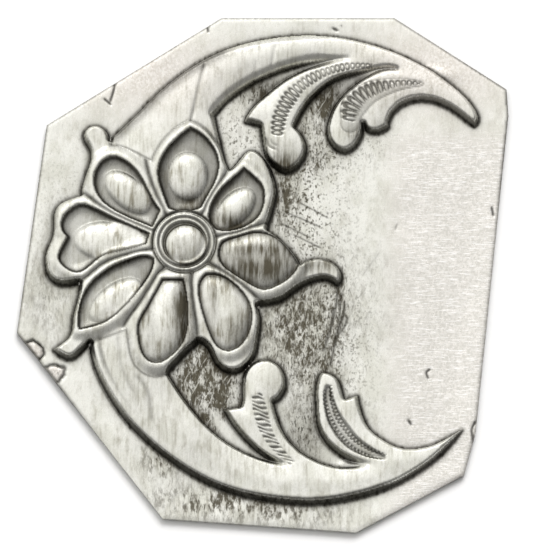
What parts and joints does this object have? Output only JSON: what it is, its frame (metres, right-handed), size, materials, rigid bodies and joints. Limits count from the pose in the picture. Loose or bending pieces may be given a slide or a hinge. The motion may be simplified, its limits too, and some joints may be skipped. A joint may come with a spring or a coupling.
{
  "type": "embossed floral crescent stamping",
  "caption": "Struck sheet-metal blank with clipped corners, embossed with a floral scrollwork crescent, hollow behind, antiqued silver finish",
  "frame": {"origin": "middle of the footprint, on the flat back of the sheet, which is the surface it rests on", "axes": "+Z out of the raised face, +Y towards the upper horn of the crescent, +X towards the crescent's open side"},
  "size_m": [0.0556, 0.0602, 0.0028],
  "materials": {
    "antiqued_silver": "silver-coloured sheet, darkened in the recesses and buffed bright on the raised tops"
  },
  "bodies": {
    "root": {"embossed_sheet": "antiqued_silver", "rim_flake_upper": "antiqued_silver", "rim_flake_lower": "antiqued_silver"}
  },
  "joints": []
}
